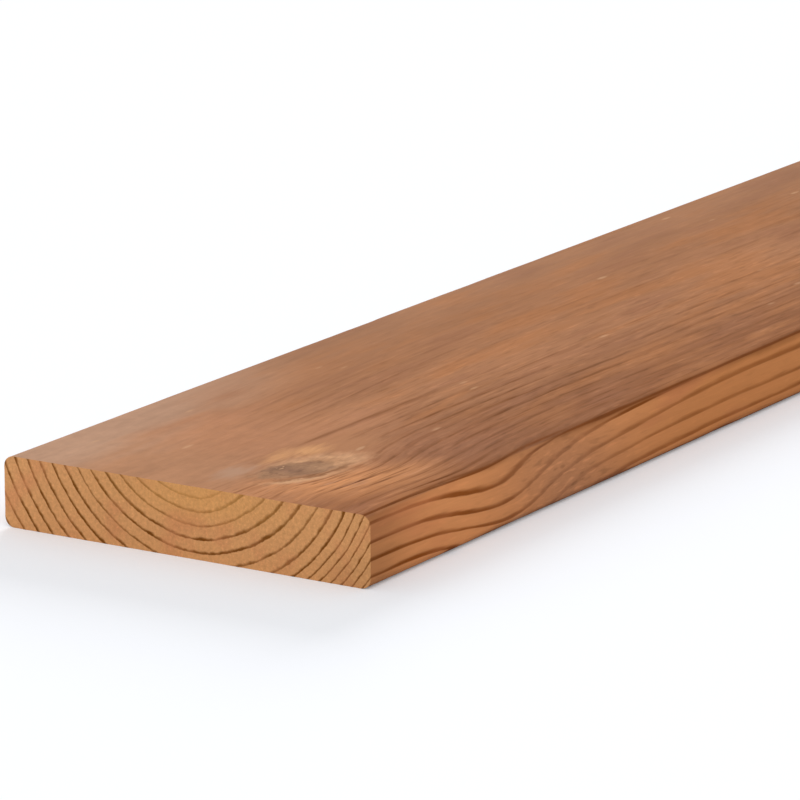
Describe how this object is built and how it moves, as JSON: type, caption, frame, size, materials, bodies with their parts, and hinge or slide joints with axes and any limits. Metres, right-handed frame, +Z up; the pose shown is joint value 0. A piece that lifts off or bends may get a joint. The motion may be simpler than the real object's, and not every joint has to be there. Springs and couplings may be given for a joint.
{
  "type": "heat-treated wood board",
  "caption": "Planed board of heat-treated softwood, rounded along its long edges and sawn square at the ends, for decking, cladding or benches.",
  "frame": {"origin": "centre of the bottom face, on the surface that the board lies on", "axes": "+X along the board and its grain, +Y across its width, +Z up through its thickness"},
  "size_m": [2.4, 0.117, 0.02],
  "materials": {
    "heat_treated_wood": "planed, bare heat-treated softwood, matt, with brown growth-ring lines"
  },
  "bodies": {
    "root": {"board": "heat_treated_wood"}
  },
  "joints": []
}
